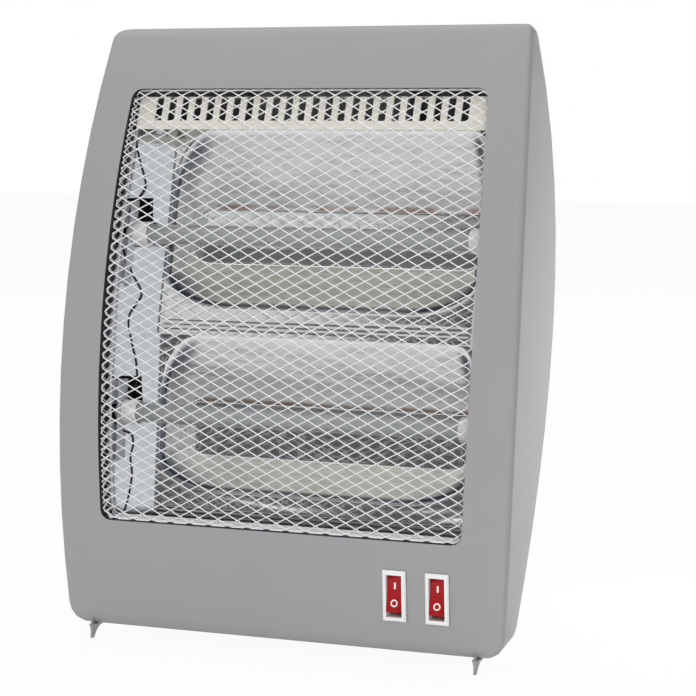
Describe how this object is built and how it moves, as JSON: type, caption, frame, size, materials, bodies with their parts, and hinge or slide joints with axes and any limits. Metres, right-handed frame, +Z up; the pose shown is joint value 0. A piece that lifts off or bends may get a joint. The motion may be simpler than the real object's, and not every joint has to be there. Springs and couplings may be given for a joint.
{
  "type": "quartz_heater",
  "caption": "Free-standing quartz heater with a bowed grey shield, white expanded-metal guard, stacked reflectors and tubes, red rocker switches and thin fin feet.",
  "frame": {"origin": "centre of the bounding box on the floor, under the feet", "axes": "X to the right as seen from the front, the window faces -Y, +Z up"},
  "size_m": [0.29, 0.122, 0.371],
  "materials": {
    "grey_plastic": "satin",
    "dark_plastic": "matte",
    "guard_paint": "satin",
    "cream_paint": "satin",
    "mirror_sheet": "polished",
    "plain_steel": "plain",
    "frosted_quartz": "frosted",
    "white_ceramic": "matte",
    "coil_wire": "plain",
    "bezel_plastic": "gloss",
    "red_plastic": "gloss",
    "black_sleeve": "satin",
    "spring_steel": "plain"
  },
  "bodies": {
    "heater": {"front_housing": "grey_plastic", "mesh_guard": "guard_paint", "vent_strip": "cream_paint", "reflector_upper": "mirror_sheet", "reflector_lower": "mirror_sheet", "quartz_tube_upper": "frosted_quartz", "heating_coil_upper": "coil_wire", "ceramic_cap_upper_left": "white_ceramic", "tube_bracket_upper_left": "plain_steel", "ceramic_cap_upper_right": "white_ceramic", "tube_bracket_upper_right": "plain_steel", "quartz_tube_lower": "frosted_quartz", "heating_coil_lower": "coil_wire", "ceramic_cap_lower_left": "white_ceramic", "tube_bracket_lower_left": "plain_steel", "ceramic_cap_lower_right": "white_ceramic", "tube_bracket_lower_right": "plain_steel", "side_plate_left": "plain_steel", "side_plate_right": "plain_steel", "rear_cover": "grey_plastic", "screw_left_1": "plain_steel", "screw_right_1": "plain_steel", "screw_left_2": "plain_steel", "screw_right_2": "plain_steel", "screw_left_3": "plain_steel", "screw_right_3": "plain_steel", "foot_front_left": "grey_plastic", "foot_front_right": "grey_plastic", "foot_rear_left": "grey_plastic", "foot_rear_right": "grey_plastic", "switch_body_left": "bezel_plastic", "switch_body_right": "bezel_plastic", "heat_shield": "plain_steel", "thermal_cutout": "plain_steel", "tip_switch_housing": "dark_plastic", "tip_spring": "spring_steel", "micro_switch": "dark_plastic", "terminal_block": "white_ceramic", "cord_gland": "dark_plastic", "lead_tube_upper_right": "black_sleeve", "lead_tube_lower_right": "black_sleeve", "lead_tube_upper_left": "black_sleeve", "lead_tube_lower_left": "black_sleeve", "lead_supply": "black_sleeve", "lead_cutout": "black_sleeve", "lead_switches": "black_sleeve", "lead_switch_link": "black_sleeve"},
    "rocker_left": {"rocker_left": "red_plastic"},
    "rocker_right": {"rocker_right": "red_plastic"},
    "plunger": {"tip_plunger": "dark_plastic"}
  },
  "joints": [
    {"name": "rocker_left_tip", "type": "hinge", "parent": "heater", "child": "rocker_left", "pos_m": [0.0744, -0.05114, 0.04268], "axis": [1, 0, 0], "range_deg": [0, 20]},
    {"name": "rocker_right_tip", "type": "hinge", "parent": "heater", "child": "rocker_right", "pos_m": [0.1005, -0.05114, 0.04268], "axis": [1, 0, 0], "range_deg": [0, 20]},
    {"name": "plunger_slide", "type": "slide", "parent": "heater", "child": "plunger", "axis": [0, 0, 1], "range_m": [-0.005, 0], "stiffness_N_per_m": 150, "springref_m": -0.008, "deforming": ["tip_spring"]}
  ]
}
